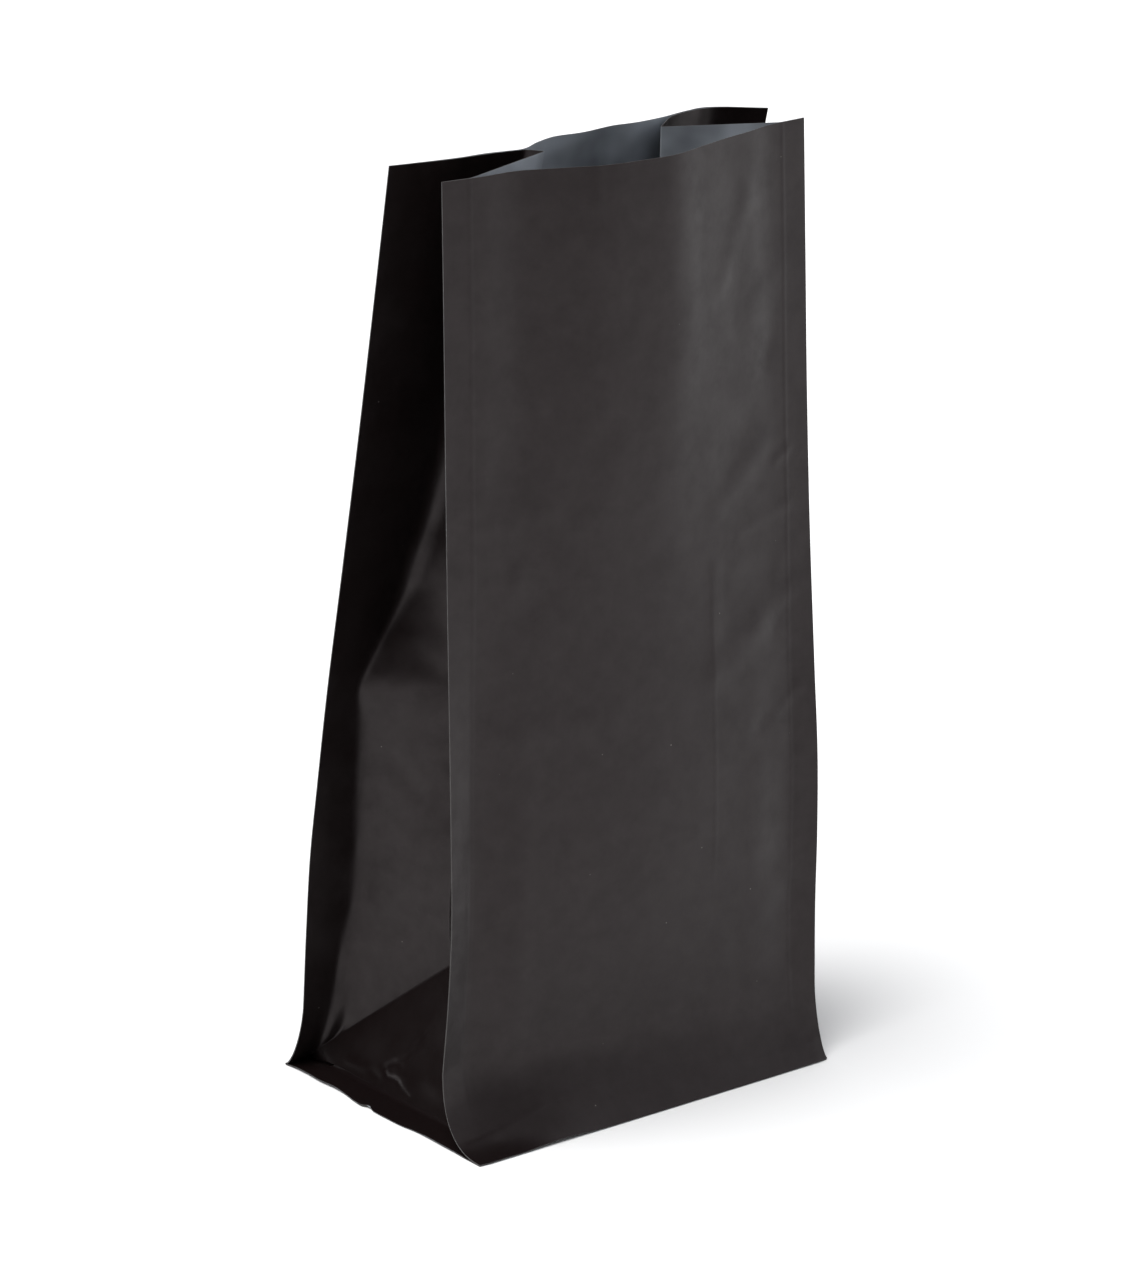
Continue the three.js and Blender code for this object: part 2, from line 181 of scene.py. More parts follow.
# Creases and dents: start and end as (x, up), width, height outwards.
FRONT_CREASES = [
    ((27, 193), (52, 213), 4.6, 0.34),
    ((38, 185), (63, 190), 2.0, 0.2),
    ((30, 203), (46, 226), 5.8, -0.32),
    ((55, 204), (63, 208), 1.6, 0.3),
    ((24, 138), (50, 155), 5.8, 0.56),
    ((46, 154), (66, 163), 4.2, 0.34),
    ((52, 149), (66, 155), 3.6, -0.34),
    ((40, 168), (60, 172), 5.8, -0.32),
    ((27.5, 140), (28.5, 178), 2.9, 0.24),
    ((43, 117), (50, 123), 3.4, -0.36),
    ((53, 121), (65, 129), 2.4, 0.28),
    ((34, 108), (52, 116), 5.2, -0.28),
    ((50, 236), (61, 250), 4.6, -0.4),
    ((44, 250), (58, 270), 5.8, 0.32),
    ((61.5, 64), (62, 108), 3.4, 0.28),
    ((46, 56), (61, 68), 4.6, 0.32),
    ((29, 44), (35, 49), 5.8, 0.4),
    ((34, 50), (46, 44), 4.6, -0.24),
    ((12, 238), (15, 266), 9.2, 0.4),
    ((28, 264), (44, 296), 4.0, 0.28),
    ((-56, 214), (-40, 236), 10.3, -0.4),
    ((-62, 205), (-30, 207), 3.6, 0.16),
    ((-40, 268), (5, 262), 30.0, -1.1),
    ((-25, 210), (-16, 232), 5.2, -0.32),
    ((-47, 184), (-42, 193), 3.4, 0.32),
    ((-47, 173), (-31, 184), 5.8, -0.36),
    ((-34, 187), (-20, 183), 1.4, 0.15),
    ((-62, 139), (-8, 136), 5.8, 0.32),
    ((-60, 118), (-44, 120), 4.6, -0.2),
    ((-21, 298), (-20.5, 314), 1.2, 0.3),
    ((-58, 11), (-37, 14.5), 1.6, 0.3),
]
DENTS_END = (INNER - 9, INNER - 2)  # distances from the middle over which dents fade out
IMPRINT = (27.0, 66.0, 180.0, 0.9, 0.07)  # a faint line: its x, from, to, width and height
IMPRINT_TAPER = 20.0
SEAL_LINE = (INNER - 0.3, 0.7, 0.1)  # its x, width and height
SEAL_LINE_FROM_TO = (12, 30)  # film heights over which it appears
EDGE_FADE = 4.0  # relief ends this far from a fin's edge
# The foot is sealed too; its upper edge, by place, is a small step in the film.
FOOT_SEAL_AT = [-70, -55, -37, -9, 10, 36, 61, 70]
FOOT_SEAL_UP = [11, 12, 14.5, 15, 12, 8.5, 8, 8]
FOOT_SEAL_STEP = 0.42
FOOT_SEAL_SOFT = 0.8
foot_seal = spline(FOOT_SEAL_AT, FOOT_SEAL_UP)


def clear_of_seals(x, relief):
    """A dent would press the panel into the gusset behind it, so dents end before the seals."""
    clear = 1 - smoothstep(np.abs(x), *DENTS_END)
    return np.maximum(relief, 0) + np.minimum(relief, 0) * clear


def finished_relief(x, up, relief):
    """Dents kept clear of the seals, with the seal lines added."""
    line, width, height = SEAL_LINE
    seal_line = height * hump(np.abs(x), line, width) * smoothstep(up, *SEAL_LINE_FROM_TO)
    return clear_of_seals(x, relief) + seal_line


def edge_fade(x):
    """Nothing at a fin's edge, where the film is cut straight."""
    return smoothstep(SIDE - np.abs(x), 0, EDGE_FADE)


def front_relief(x, up):
    """Soft dents and folds of the front panel, in millimetres outwards."""
    relief = sum(crease(x, up, *values) for values in FRONT_CREASES)
    line, low, high, width, height = IMPRINT
    shown = smoothstep(up, low, low + IMPRINT_TAPER)
    shown = shown * (1 - smoothstep(up, high - IMPRINT_TAPER, high))
    relief = finished_relief(x, up, relief + height * hump(x, line, width) * shown)
    step = foot_seal(x)
    relief = relief + FOOT_SEAL_STEP * (1 - smoothstep(up, step - FOOT_SEAL_SOFT, step + FOOT_SEAL_SOFT))
    return relief * edge_fade(x)


BACK_CREASES = [
    ((-50, 60), (-20, 90), 8.0, 0.6),
    ((10, 120), (45, 150), 7.0, -0.6),
    ((-40, 170), (-5, 200), 9.0, 0.6),
    ((20, 70), (50, 62), 6.0, 0.5),
    ((-30, 285), (-24, 314), 6.0, -0.5),
    ((2, 280), (6, 314), 5.0, 0.4),
    ((-60, 141), (60, 137), 4.0, -0.35),
]


def back_relief(x, up):
    """The same for the back panel."""
    relief = sum(crease(x, up, *values) for values in BACK_CREASES)
    return finished_relief(x, up, relief) * edge_fade(x)


RELIEF = {"front": front_relief, "back": back_relief}


FOOT_ARCH = (0.9, -38, 13)  # its height, place and width


def foot_arch(x):
    """The front edge stands off the floor here."""
    height, place, width = FOOT_ARCH
    return height * hump(x, place, width)


pinch_share = spline(PINCH_HEIGHTS, PINCH_SHARE)


def pinch(panel, x, up):
    """How far a panel is drawn in beside its seals."""
    from_edge = SIDE - np.abs(x)
    fin = np.clip(from_edge / SEAL, 0, 1)
    fade = 1 - smoothstep(from_edge, SEAL - 1, SEAL + PINCH_FADE)
    most = np.where(x < 0, PINCH[panel, -1], PINCH[panel, 1])
    return most * np.maximum(pinch_share(up), 0) * fin * fade


FLARE_FROM_TO = (2, SEAL + 34)  # distances from a fin's edge between which the flare takes over
ARCH_FADE = 14.0  # film height at which the arch of the foot has faded


def guide_curves(panel, x, up):
    """Depth and height of the panel's left and right guide curves, at a film height."""
    lines = [corners[panel + side](up / LENGTH) for side in ("_left", "_right")]
    if panel == "front":
        middle = smoothstep(SIDE - np.abs(x), *FLARE_FROM_TO)
        flared = [flares[side](up / LENGTH) for side in ("left", "right")]
        lines = [lerp(np.array(line), np.array(flare), middle) for line, flare in zip(lines, flared)]
    return lines


def panel_point(panel, x, up, relief=True):
    """A place on a panel's middle surface; relief leaves out or adds its creases."""
    x, up = np.broadcast_arrays(np.asarray(x, float), np.asarray(up, float))
    share = x / WIDTH + 0.5
    (left_y, left_z), (right_y, right_z) = guide_curves(panel, x, up)
    belly = BELLY * np.cos(x / WIDTH * math.pi) ** 2 * np.sin(up / LENGTH * math.pi)
    rim_bow = rim_bows[panel](x) * smoothstep(up, RIM_BOW_FROM, LENGTH)
    bow = belly + rim_bow - pinch(panel, x, up)
    if relief:
        bow = bow + RELIEF[panel](x, up)
    lift = FILM / 2 + LAYER * (1 + smoothstep(np.abs(x), INNER - SEAL, INNER))
    height = lerp(left_z, right_z, share) + lift * (1 - smoothstep(up, 0, LENGTH))
    if panel == "front":
        height = height + foot_arch(x) * (1 - smoothstep(up, 0, ARCH_FADE))
    depth = lerp(left_y, right_y, share) + OUTWARDS[panel] * bow
    return np.stack([x, depth, height], -1)


SLOPE_STEP = 0.5  # a panel's direction is taken over this far to each side


def inside_panel(panel, x, up, distance):
    """The same place moved off the panel, towards the inside of the bag."""
    step = SLOPE_STEP
    low, high = np.maximum(up - step, 0), np.minimum(up + step, LENGTH)
    across = panel_point(panel, x + step, up, False) - panel_point(panel, x - step, up, False)
    along = panel_point(panel, x, high, False) - panel_point(panel, x, low, False)
    inwards = unit(np.cross(across, along)) * OUTWARDS[panel]
    return panel_point(panel, x, up, False) + inwards * np.asarray(distance)[..., None]


# ---- Gussets -------------------------------------------------------------------------------
# Across a gusset the film is: seal, a stretch that follows the panel, a straight stretch to the
# middle crease, and the same again.
FOLLOW_FRONT = spline([SEAL, 40, 80, RIDGE, LENGTH], [0.5, 3.5, 7.5, 1.5, 1])
FOLLOW_BACK_UP = [
    SEAL, 14, 20, 30, 42, 60, 75, 92, 105, 117, 127, RIDGE, 147, 160, 168, 175, 182, 190, 205, LENGTH,
]
FOLLOW_BACK_FILM = [
    0.3, 0.3, 0.7, 2.4, 4.6, 7.8, 8.8, 8.8, 7.8, 6.5, 4.3, 2.6, 7.3, 14.3, 17.5, 18.8, 20.8, 24.0, 33, 41,
]
FOLLOW_BACK = spline(FOLLOW_BACK_UP, FOLLOW_BACK_FILM)
SLACK = 2.2  # film kept back, so that the two straight stretches always meet
# At the rim, per side: how taut the front and back halves are, and how far the back half follows.
RIM_TAUT = {-1: (1.0, 1.0), 1: (0.9, 0.76)}
RIM_FOLLOW = {-1: 41.0, 1: 22.0}
RIM_FROM = 220.0  # film height at which the rim begins to pull on the back half
LEAST_FOLLOW = 0.3
FOLLOW_GAP = 0.25  # extra gap between a gusset and the panel that it follows
STRAIGHT_FADE = (RIDGE - 5, RIDGE + 25)  # film heights over which it goes over to following it
ROUND_CREASE = 1.2  # width of film over which the middle crease is rounded
ROUND_BEYOND = (3, 12)  # and distances from it over which the other widths take over
ROUND_FRONT = 7.0
ROUND_FRONT_FULL = 55.0  # film height
ROUND_BACK_UP = [SEAL, 25, 40, 60, 80, 117, 130, RIDGE, 145, 160, 180, 205, LENGTH]
ROUND_BACK_FILM = [0.6, 3, 7, 6.5, 9, 9, 4, 2.4, 3.5, 6.5, 11, 14, 12]
ROUND_BACK = spline(ROUND_BACK_UP, ROUND_BACK_FILM)
ROUND_SAMPLES = 25
ROUND_SAVING = 0.107  # share of a rounded width that the rounding leaves over as film


def gusset_section(side, up):
    """Everything about the section of a gusset at a film height that doesn't depend on `across`."""
    front_seal = inside_panel("front", side * INNER + 0 * up, up, LAYER + 0 * up)
    back_seal = inside_panel("back", side * INNER + 0 * up, up, LAYER + 0 * up)
    depth = back_seal[..., 1] - front_seal[..., 1]
    most = ((2 * GUSSET_HALF) ** 2 - depth**2) / (4 * GUSSET_HALF) - SLACK
    rim = smoothstep(up, RIM_FROM, LENGTH)
    back = np.minimum(lerp(FOLLOW_BACK(up), RIM_FOLLOW[side], rim), most)
    back = np.clip(back, LEAST_FOLLOW, GUSSET_HALF - 1)
    front = FOLLOW_FRONT(up)
    front_taut, back_taut = (lerp(1, taut, smoothstep(up, RIDGE, LENGTH)) for taut in RIM_TAUT[side])
    front_joint = follow_panel("front", side, up, front)
    back_joint = follow_panel("back", side, up, back)
    front_reach = (GUSSET_HALF - front + ROUND_SAVING * ROUND_FRONT) * front_taut
    back_reach = (GUSSET_HALF - back + ROUND_SAVING * ROUND_BACK(up)) * back_taut
    crease = crossing(front_joint[..., :2], back_joint[..., :2], front_reach, back_reach, side)
    return front, back, front_joint, back_joint, crease, front_seal[..., 2], back_seal[..., 2]


def follow_panel(panel, side, up, distance):
    """A gusset beyond its seal: below the ridge it runs straight on from the fin."""
    gap = LAYER + FOLLOW_GAP * smoothstep(distance, 0, SEAL)
    beside = inside_panel(panel, side * (INNER - distance), up, gap)
    seal = inside_panel(panel, side * INNER + 0 * up, up, LAYER + 0 * up)
    fin = inside_panel(panel, side * (INNER + SEAL / 2) + 0 * up, up, LAYER + 0 * up)
    ahead = seal + unit(seal - fin) * np.asarray(distance)[..., None]
    inwards = unit(inside_panel(panel, side * (INNER - distance), up, gap + 1) - beside)
    clearance = np.sum((ahead - beside) * inwards, -1, keepdims=True)
    ahead = ahead + inwards * np.maximum(-clearance, 0)
    straight = 1 - smoothstep(up, *STRAIGHT_FADE)
    return lerp(beside, ahead, straight[..., None])


def crossing(start, end, start_radius, end_radius, side):
    """Where two taut stretches of film meet: the crossing of two circles, inside the bag."""
    span = end - start
    distance = np.linalg.norm(span, axis=-1)
    along = (distance**2 + start_radius**2 - end_radius**2) / (2 * distance)
    aside = np.sqrt(np.maximum(start_radius**2 - along**2, 0))
    span = span / distance[..., None]
    inwards = np.stack([span[..., 1], -span[..., 0]], -1) * (-side * aside)[..., None]
    return start + span * along[..., None] + inwards


def sharp_point(side, section, across, up):
    """A place on a gusset whose bends are still sharp."""
    front, back, front_joint, back_joint, crease, front_z, back_z = section
    to_front = across < 0
    follows = np.where(to_front, front, back)
    from_seal = GUSSET_HALF - np.abs(across)
    joint = np.where(to_front[..., None], front_joint, back_joint)
    share = np.clip((from_seal - follows) / (GUSSET_HALF - follows), 0, 1)[..., None]
    flat = lerp(joint[..., :2], crease, share)
    height = lerp(front_z, back_z, across / (2 * GUSSET_HALF) + 0.5)
    straight = np.concatenate([flat, height[..., None]], -1)
    along = {}
    for panel in ("front", "back"):
        near = np.maximum(from_seal, 0)
        free = follow_panel(panel, side, up, near)
        sealed = inside_panel(panel, side * (INNER - from_seal), up, LAYER + 0 * up)
        along[panel] = np.where((from_seal < 0)[..., None], sealed, free)
    beside = np.where(to_front[..., None], along["front"], along["back"])
    return np.where((from_seal < follows)[..., None], beside, straight)


TABLE_STEP = 0.5
table_across = np.arange(-PLEAT, PLEAT + TABLE_STEP / 2, TABLE_STEP)
table_up = np.arange(0, LENGTH + TABLE_STEP / 2, TABLE_STEP)


def sharp_table(side):
    """The sharp section on a fine grid over the whole gusset, so that it's worked out only once."""
    section = gusset_section(side, table_up)
    places = [np.full_like(table_up, across) for across in table_across]
    return np.stack([sharp_point(side, section, across, table_up) for across in places])


sharp_tables = {side: sharp_table(side) for side in (-1, 1)}


def from_table(table, across, up):
    """Linear interpolation in both directions."""
    column = np.clip((across - table_across[0]) / TABLE_STEP, 0, len(table_across) - 1)
    row = np.clip(up / TABLE_STEP, 0, len(table_up) - 1)
    i = np.minimum(column.astype(int), len(table_across) - 2)
    j = np.minimum(row.astype(int), len(table_up) - 2)
    s, t = (column - i)[..., None], (row - j)[..., None]
    low = lerp(table[i, j], table[i + 1, j], s)
    high = lerp(table[i, j + 1], table[i + 1, j + 1], s)
    return lerp(low, high, t)


def natural_point(side, across, up):
    """A gusset as it would be without the base's pleat, with its bends rounded."""
    across, up = np.broadcast_arrays(np.asarray(across, float), np.asarray(up, float))
    front_width = ROUND_FRONT * smoothstep(up, SEAL, ROUND_FRONT_FULL)
    beside = np.where(across < 0, front_width, ROUND_BACK(up))
    width = lerp(ROUND_CREASE, beside, smoothstep(np.abs(across), *ROUND_BEYOND))
    width = np.minimum(width, 2 * np.maximum(GUSSET_HALF - np.abs(across), 0))
    total = 0
    for i in range(ROUND_SAMPLES):
        offset = width * (i / (ROUND_SAMPLES - 1) - 0.5)
        total = total + from_table(sharp_tables[side], across + offset, up)
    return total / ROUND_SAMPLES


FOLD_REACH = 75.0  # film height at which the pleat no longer pulls on the wall
FOLD_REACH_SEAL = 24.0  # and the length of film over which it pulls beside a seal
FOLD_REACH_FADE = 14.0
CREASE_DIP = 2.0  # the pleat's tip hangs this far below the film's own place
# Of the halves -1 at the front and 1 at the back: the width over which the fold eases into the
# wall, and the film height at which it meets the seal.
FOLD_EASING = {-1: 12.0, 1: 5.0}
FOLD_END = {-1: SEAL, 1: 6.0}


def by_half(across, values):
    """The front or the back half's value, by the place across."""
    return np.where(across < 0, values[-1], values[1])


def fold_film(across):
    """Film height of the fold between the wall and the pleat: about 45 degrees, as it is made."""
    end = by_half(across, FOLD_END)
    return lerp(PLEAT, end, np.minimum(np.abs(across) / GUSSET_HALF, 1))


def pleat_fold(side, across):
    """The fold between wall and pleat: straight, but easing into the wall beside the seals."""
    natural = natural_point(side, across, fold_film(across))
    tip = natural_point(side, np.array([0.0]), np.array([PLEAT]))[0]
    tip[2] -= CREASE_DIP
    end_places = np.array([-GUSSET_HALF, GUSSET_HALF])
    ends = natural_point(side, end_places, by_half(end_places, FOLD_END))
    share = np.minimum(np.abs(across) / GUSSET_HALF, 1)[..., None]
    end = np.where((across < 0)[..., None], ends[0], ends[1])
    reach = by_half(across, FOLD_EASING)
    easing = smoothstep(GUSSET_HALF - np.abs(across), 0, reach)[..., None]
    return lerp(natural, lerp(tip, end, share), easing)


GUSSET_CREASES = [
    ((15, 101), (27, 113), 2.6, -0.7),
    ((6, 108), (17, 118), 1.6, 0.35),
    ((24, 100), (33, 92), 2.5, 0.35),
    ((10, 72), (28, 80), 5.0, 0.12),
    ((8, 140), (24, 150), 5.0, -0.5),
    ((-30, 90), (-12, 110), 6.0, 0.5),
]


CREASES_FROM_SEAL = (2, 8)
CREASES_FROM_UP = (PLEAT + 2, PLEAT + 20)


def gusset_relief(across, up):
    """Small creases of a gusset, in millimetres outwards."""
    relief = sum(crease(across, up, *values) for values in GUSSET_CREASES)
    beside_seal = smoothstep(GUSSET_HALF - np.abs(across), *CREASES_FROM_SEAL)
    return relief * beside_seal * smoothstep(up, *CREASES_FROM_UP)


def wall_point(side, across, up):
    """A place on the upright part of a gusset, with the pull of the pleat's fold."""
    across, up = np.broadcast_arrays(np.asarray(across, float), np.asarray(up, float))
    natural = natural_point(side, across, up)
    inner = np.abs(across) < GUSSET_HALF
    fold_up = fold_film(across)
    pull = pleat_fold(side, across) - natural_point(side, across, fold_up)
    from_seal = smoothstep(GUSSET_HALF - np.abs(across), 0, FOLD_REACH_FADE)
    reach = lerp(FOLD_REACH_SEAL, FOLD_REACH - fold_up, from_seal)
    fading = np.clip(1 - (up - fold_up) / reach, 0, 1) ** 2
    point = natural + np.where(inner[..., None], pull * fading[..., None], 0)
    point[..., 0] += side * gusset_relief(across, up)
    return point


# Floor fins: the strip where a gusset is sealed to the base. By the place along the side: the
# height of its outer edge over the floor, that edge's distance from the middle, and the height
# of its inner edge.
LEFT_FIN_AT = [-51, -44, -39, -30, -23, -17, -12, -4, 1, 4, 6, 8, 13, 19, 24.5, 32, 41, 46, 51]
LEFT_FIN_HEIGHT = [0, 0, 0.2, 0.3, 0.2, 0, 0, 0, 0, 0.1, 0.8, 0.5, 0.2, 0.2, 0.6, 0.5, 0.5, 0.4, 0]
LEFT_FIN_EDGE = [
    70, 70, 69.9, 69.8, 69.6, 69.7, 70.4, 70.6, 70.6, 70.4,
    69.9, 70.8, 70.6, 69.6, 69.4, 69.8, 69.5, 69.6, 70,
]
RIGHT_FIN_AT = [-51, -40, -20, 0, 20, 40, 51]
RIGHT_FIN_HEIGHT = [0.0, 0.8, 0.3, 1.2, 0.3, 1.4, 0.2]
RIGHT_FIN_EDGE = [70, 69, 68, 67.5, 68, 69, 70]
fins = {
    -1: (spline(LEFT_FIN_AT, LEFT_FIN_HEIGHT), spline(LEFT_FIN_AT, LEFT_FIN_EDGE)),
    1: (spline(RIGHT_FIN_AT, RIGHT_FIN_HEIGHT), spline(RIGHT_FIN_AT, RIGHT_FIN_EDGE)),
}
FIN_RISE = spline([-51, -46, -39, -20, 0, 20, 39, 46, 51], [0, 0.7, 1.9, 2.3, 2.0, 1.8, 1.9, 0.7, 0])
FIN_DEPTH = 50.6  # place along the side at which the pleat ends
PLEAT_DIP = 2.5  # sag of the pleat between its fin and its fold
PLEAT_FACING = (0.8, 0.6)  # outwards and upwards


def fin_point(side, place, share):
    """The floor fin of a side: share 0 at its outer edge, 1 at the pleat's foot."""
    height, edge = fins[side]
    x = lerp(edge(place), INNER, share)
    z = FILM / 2 + LAYER + lerp(height(place), FIN_RISE(place), share)
    return np.stack([side * x, place, z], -1)


# Creases of the pleat: start and end as (along, film height above the fin), width, height.
PLEAT_CREASES = [
    ((5.9, 11.5), (10, 12.3), 0.9, -0.24),
    ((10, 12.3), (14, 8.6), 0.9, -0.32),
    ((14, 8.6), (11.5, 5.6), 0.9, -0.39),
    ((11.5, 5.6), (6.5, 6.2), 0.9, -0.42),
    ((6.5, 6.2), (3.5, 4.0), 0.9, -0.42),
    ((3.5, 4.0), (-1.5, 2.0), 1.0, -0.35),
    ((8.5, 9.0), (3.0, 8.0), 2.0, 0.28),
    ((0.5, 27), (3.5, 21), 0.7, -0.15),
    ((3.5, 21), (5.0, 16), 0.7, -0.21),
    ((5.0, 16), (8.0, 13.5), 0.7, -0.21),
    ((31, 4.5), (20, 5.5), 2.0, 0.21),
    ((20, 5.5), (14, 3.5), 1.6, -0.21),
    ((-6, 12), (-18, 9), 4.0, 0.28),
]


def pleat_point(side, along, share):
    """The pleat, from the floor fin (share 0) to the fold; past the fold it ends at the seals."""
    along, share = np.broadcast_arrays(np.asarray(along, float), np.asarray(share, float))
    foot = fin_point(side, along / PLEAT * FIN_DEPTH, np.ones_like(along))
    past = np.maximum(np.abs(along) - GUSSET_HALF, 0)
    seal_up = by_half(along, FOLD_END) * (1 - past / SEAL)
    seal_edge = natural_point(side, np.sign(along) * GUSSET_HALF, seal_up)
    top = np.where((past > 0)[..., None], seal_edge, pleat_fold(side, along))
    point = lerp(foot, top, share[..., None])
    from_middle = np.minimum(np.abs(along) / GUSSET_HALF, 1)
    dip = PLEAT_DIP * np.sin(share * math.pi) * (1 - share) * (1 - from_middle)
    rise = share * fold_film(along)
    relief = sum(crease(along, rise, *values) for values in PLEAT_CREASES)
    relief = relief * smoothstep(share, 0, 0.05) * (1 - smoothstep(share, 0.9, 1))
    point[..., 0] += side * relief * PLEAT_FACING[0]
    point[..., 2] += relief * PLEAT_FACING[1]
    point[..., 2] = np.maximum(point[..., 2] - dip, FILM / 2 + LAYER)
    return point


# ---- From a sheet to a mesh ----------------------------------------------------------------
MERGE = 0.004  # points that round to the same multiple of this are one
BLACK_SKIN, SILVER_SKIN, CUT_EDGE = range(3)  # material slots


class Sheet:
    """Patches of four-sided faces on the middle surface of a web, merged where they meet."""

    def __init__(self):
        self.points = []
        self.faces = []

    def patch(self, columns, rows, point_at):
        """A grid of faces; point_at(column, row) gives its points."""
        a, b = np.meshgrid(np.asarray(columns, float), np.asarray(rows, float), indexing="ij")
        points = point_at(a, b)
        start = sum(len(p) for p in self.points)
        index = start + np.arange(a.size).reshape(a.shape)
        quads = np.stack([index[:-1, :-1], index[1:, :-1], index[1:, 1:], index[:-1, 1:]], -1)
        self.points.append(points.reshape(-1, 3))
        self.faces.append(quads.reshape(-1, 4))

    def merged(self):
        """All the points and faces, with the patches' shared edges joined."""
        points = np.concatenate(self.points)
        faces = np.concatenate(self.faces)
        _, first, place = np.unique(
            np.round(points / MERGE), axis=0, return_index=True, return_inverse=True
        )
        faces = place.reshape(-1)[faces]
        return points[first], faces

    def loops(self, faces):
        """Faces as corner loops, without the corners that merging made equal."""
        loops = []
        for face in faces.tolist():
            loop = [v for i, v in enumerate(face) if v != face[i - 1]]
            if len(loop) > 2 and len(set(loop)) == len(loop):
                loops.append(loop)
        return loops

    def mesh(self, name, outside):
        """A closed thin mesh; `outside` is +1 where the black skin is on the side that normals face."""
        points, faces = self.merged()
        loops = self.loops(faces)
        normals = np.zeros_like(points)
        for loop in loops:
            corner = points[loop]
            area = np.cross(corner[2] - corner[0], corner[-1] - corner[1 if len(loop) == 4 else 0])
            normals[loop] += area
        normals = unit(normals)
        skins = np.concatenate([points + normals * FILM / 2, points - normals * FILM / 2]) * MM
        count = len(points)
        polygons = loops + [[v + count for v in reversed(loop)] for loop in loops]
        sides = (BLACK_SKIN, SILVER_SKIN) if outside > 0 else (SILVER_SKIN, BLACK_SKIN)
        materials = [sides[0]] * len(loops) + [sides[1]] * len(loops)
        edges = {}
        for loop in loops:
            for start, end in zip(loop, loop[1:] + loop[:1]):
                if edges.pop((end, start), None) is None:
                    edges[(start, end)] = True
        for start, end in edges:
            polygons.append([end, start, start + count, end + count])
            materials.append(CUT_EDGE)
        mesh = bpy.data.meshes.new(name)
        mesh.from_pydata(skins.tolist(), [], polygons)
        mesh.polygons.foreach_set("material_index", materials)
        mesh.shade_smooth()
        rim = set()
        for start, end in edges:
            rim.add((min(start, end), max(start, end)))
            rim.add((min(start, end) + count, max(start, end) + count))
        sharp = [tuple(sorted(edge.vertices)) in rim for edge in mesh.edges]
        mesh.edges.foreach_set("use_edge_sharp", sharp)
        mesh.validate()
        mesh.update()
        return mesh


def spaced(*stops):
    """Places from stop to stop: each stop after the first is (value, step to it)."""
    places = [stops[0]]
    for value, step in stops[1:]:
        count = max(int(round(abs(value - places[-1]) / step)), 1)
        places += list(np.linspace(places[-1], value, count + 1)[1:])
    return np.array(places)


def film_piece(name, sheet, outside):
    """One web of film in the scene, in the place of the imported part's node of that name."""
    piece = bpy.data.objects.new("film_" + name, sheet.mesh("film_" + name, outside))
    bpy.context.scene.collection.objects.link(piece)
    for material in (outer_film, inner_film, cut_edge):
        piece.data.materials.append(material)
    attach(piece, "root")
    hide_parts(name)
    return piece


# ---- Materials -----------------------------------------------------------------------------
BLACK = (0.005, 0.0032, 0.0032)
DUST = (0.12, 0.11, 0.105)
SILVER = (0.42, 0.445, 0.48)
SILVER_CLOUDS = (0.25, 0.265, 0.29), (0.62, 0.66, 0.71)
EDGE = (0.045, 0.042, 0.041)


def new_material(name, color, roughness, metallic=0.0):
    """A material with its shader and node tree."""
    material = bpy.data.materials.new(name)
    material.use_nodes = True
    shader = material.node_tree.nodes["Principled BSDF"]
    shader.inputs["Base Color"].default_value = (*color, 1)
    shader.inputs["Roughness"].default_value = roughness
    shader.inputs["Metallic"].default_value = metallic
    return material, shader, material.node_tree


def noise(tree, scale, detail=3.0, roughness=0.5):
    """A noise texture in the frame's own coordinates, its scale in features per metre."""
    nodes, links = tree.nodes, tree.links
    place = nodes.get("Place") or nodes.new("ShaderNodeTexCoord")
    place.name = "Place"
    texture = nodes.new("ShaderNodeTexNoise")
    texture.inputs["Scale"].default_value = scale
    texture.inputs["Detail"].default_value = detail
    texture.inputs["Roughness"].default_value = roughness
    links.new(place.outputs["Object"], texture.inputs["Vector"])
    return texture.outputs["Fac"]


def tones(tree, shader, value, dark, light):
    """The base colour, from dark to light as the value goes from 0 to 1."""
    ramp = tree.nodes.new("ShaderNodeValToRGB")
    for element, color in zip(ramp.color_ramp.elements, (dark, light)):
        element.color = (*color, 1)
    tree.links.new(value, ramp.inputs["Fac"])
    tree.links.new(ramp.outputs["Color"], shader.inputs["Base Color"])


def ranged(tree, value, low, high, to_low, to_high):
    """The value mapped from one range to another."""
    node = tree.nodes.new("ShaderNodeMapRange")
    sockets = ("From Min", "From Max", "To Min", "To Max")
    for socket, number in zip(sockets, (low, high, to_low, to_high)):
        node.inputs[socket].default_value = number
    tree.links.new(value, node.inputs["Value"])
    return node.outputs["Result"]


def bump(tree, shader, height, strength, distance):
    """Fine relief in the shading alone."""
    node = tree.nodes.new("ShaderNodeBump")
    node.inputs["Strength"].default_value = strength
    node.inputs["Distance"].default_value = distance
    tree.links.new(height, node.inputs["Height"])
    tree.links.new(node.outputs["Normal"], shader.inputs["Normal"])


